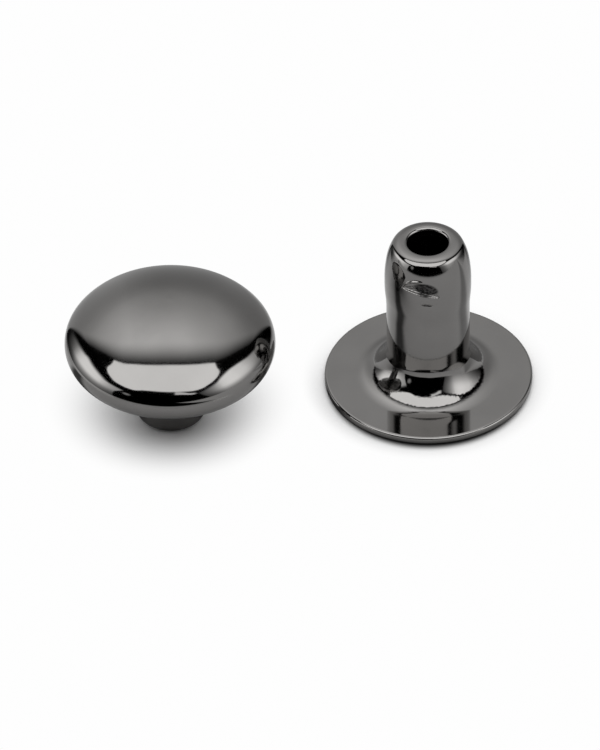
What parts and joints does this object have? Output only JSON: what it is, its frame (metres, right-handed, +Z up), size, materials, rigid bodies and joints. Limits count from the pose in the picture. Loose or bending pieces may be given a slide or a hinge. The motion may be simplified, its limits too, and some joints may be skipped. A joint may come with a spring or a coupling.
{
  "type": "leather rivet",
  "caption": "Two-part dark metal rivet for leather: a domed cap on a short collar and a hollow flanged post with a pierced tip, standing side by side before setting.",
  "frame": {"origin": "on the surface that both halves stand on, midway between their axes", "axes": "+Z up along both halves' axes, +X from the cap's axis to the post's axis, -Y the front, where the post's gouge faces"},
  "size_m": [0.0201, 0.009, 0.0076],
  "materials": {
    "gunmetal": "polished steel with a dark gunmetal plating, mirror bright, with a small torn gouge on the post's stem"
  },
  "bodies": {
    "root": {"cap_shell": "gunmetal", "cap_socket": "gunmetal", "post": "gunmetal"}
  },
  "joints": []
}
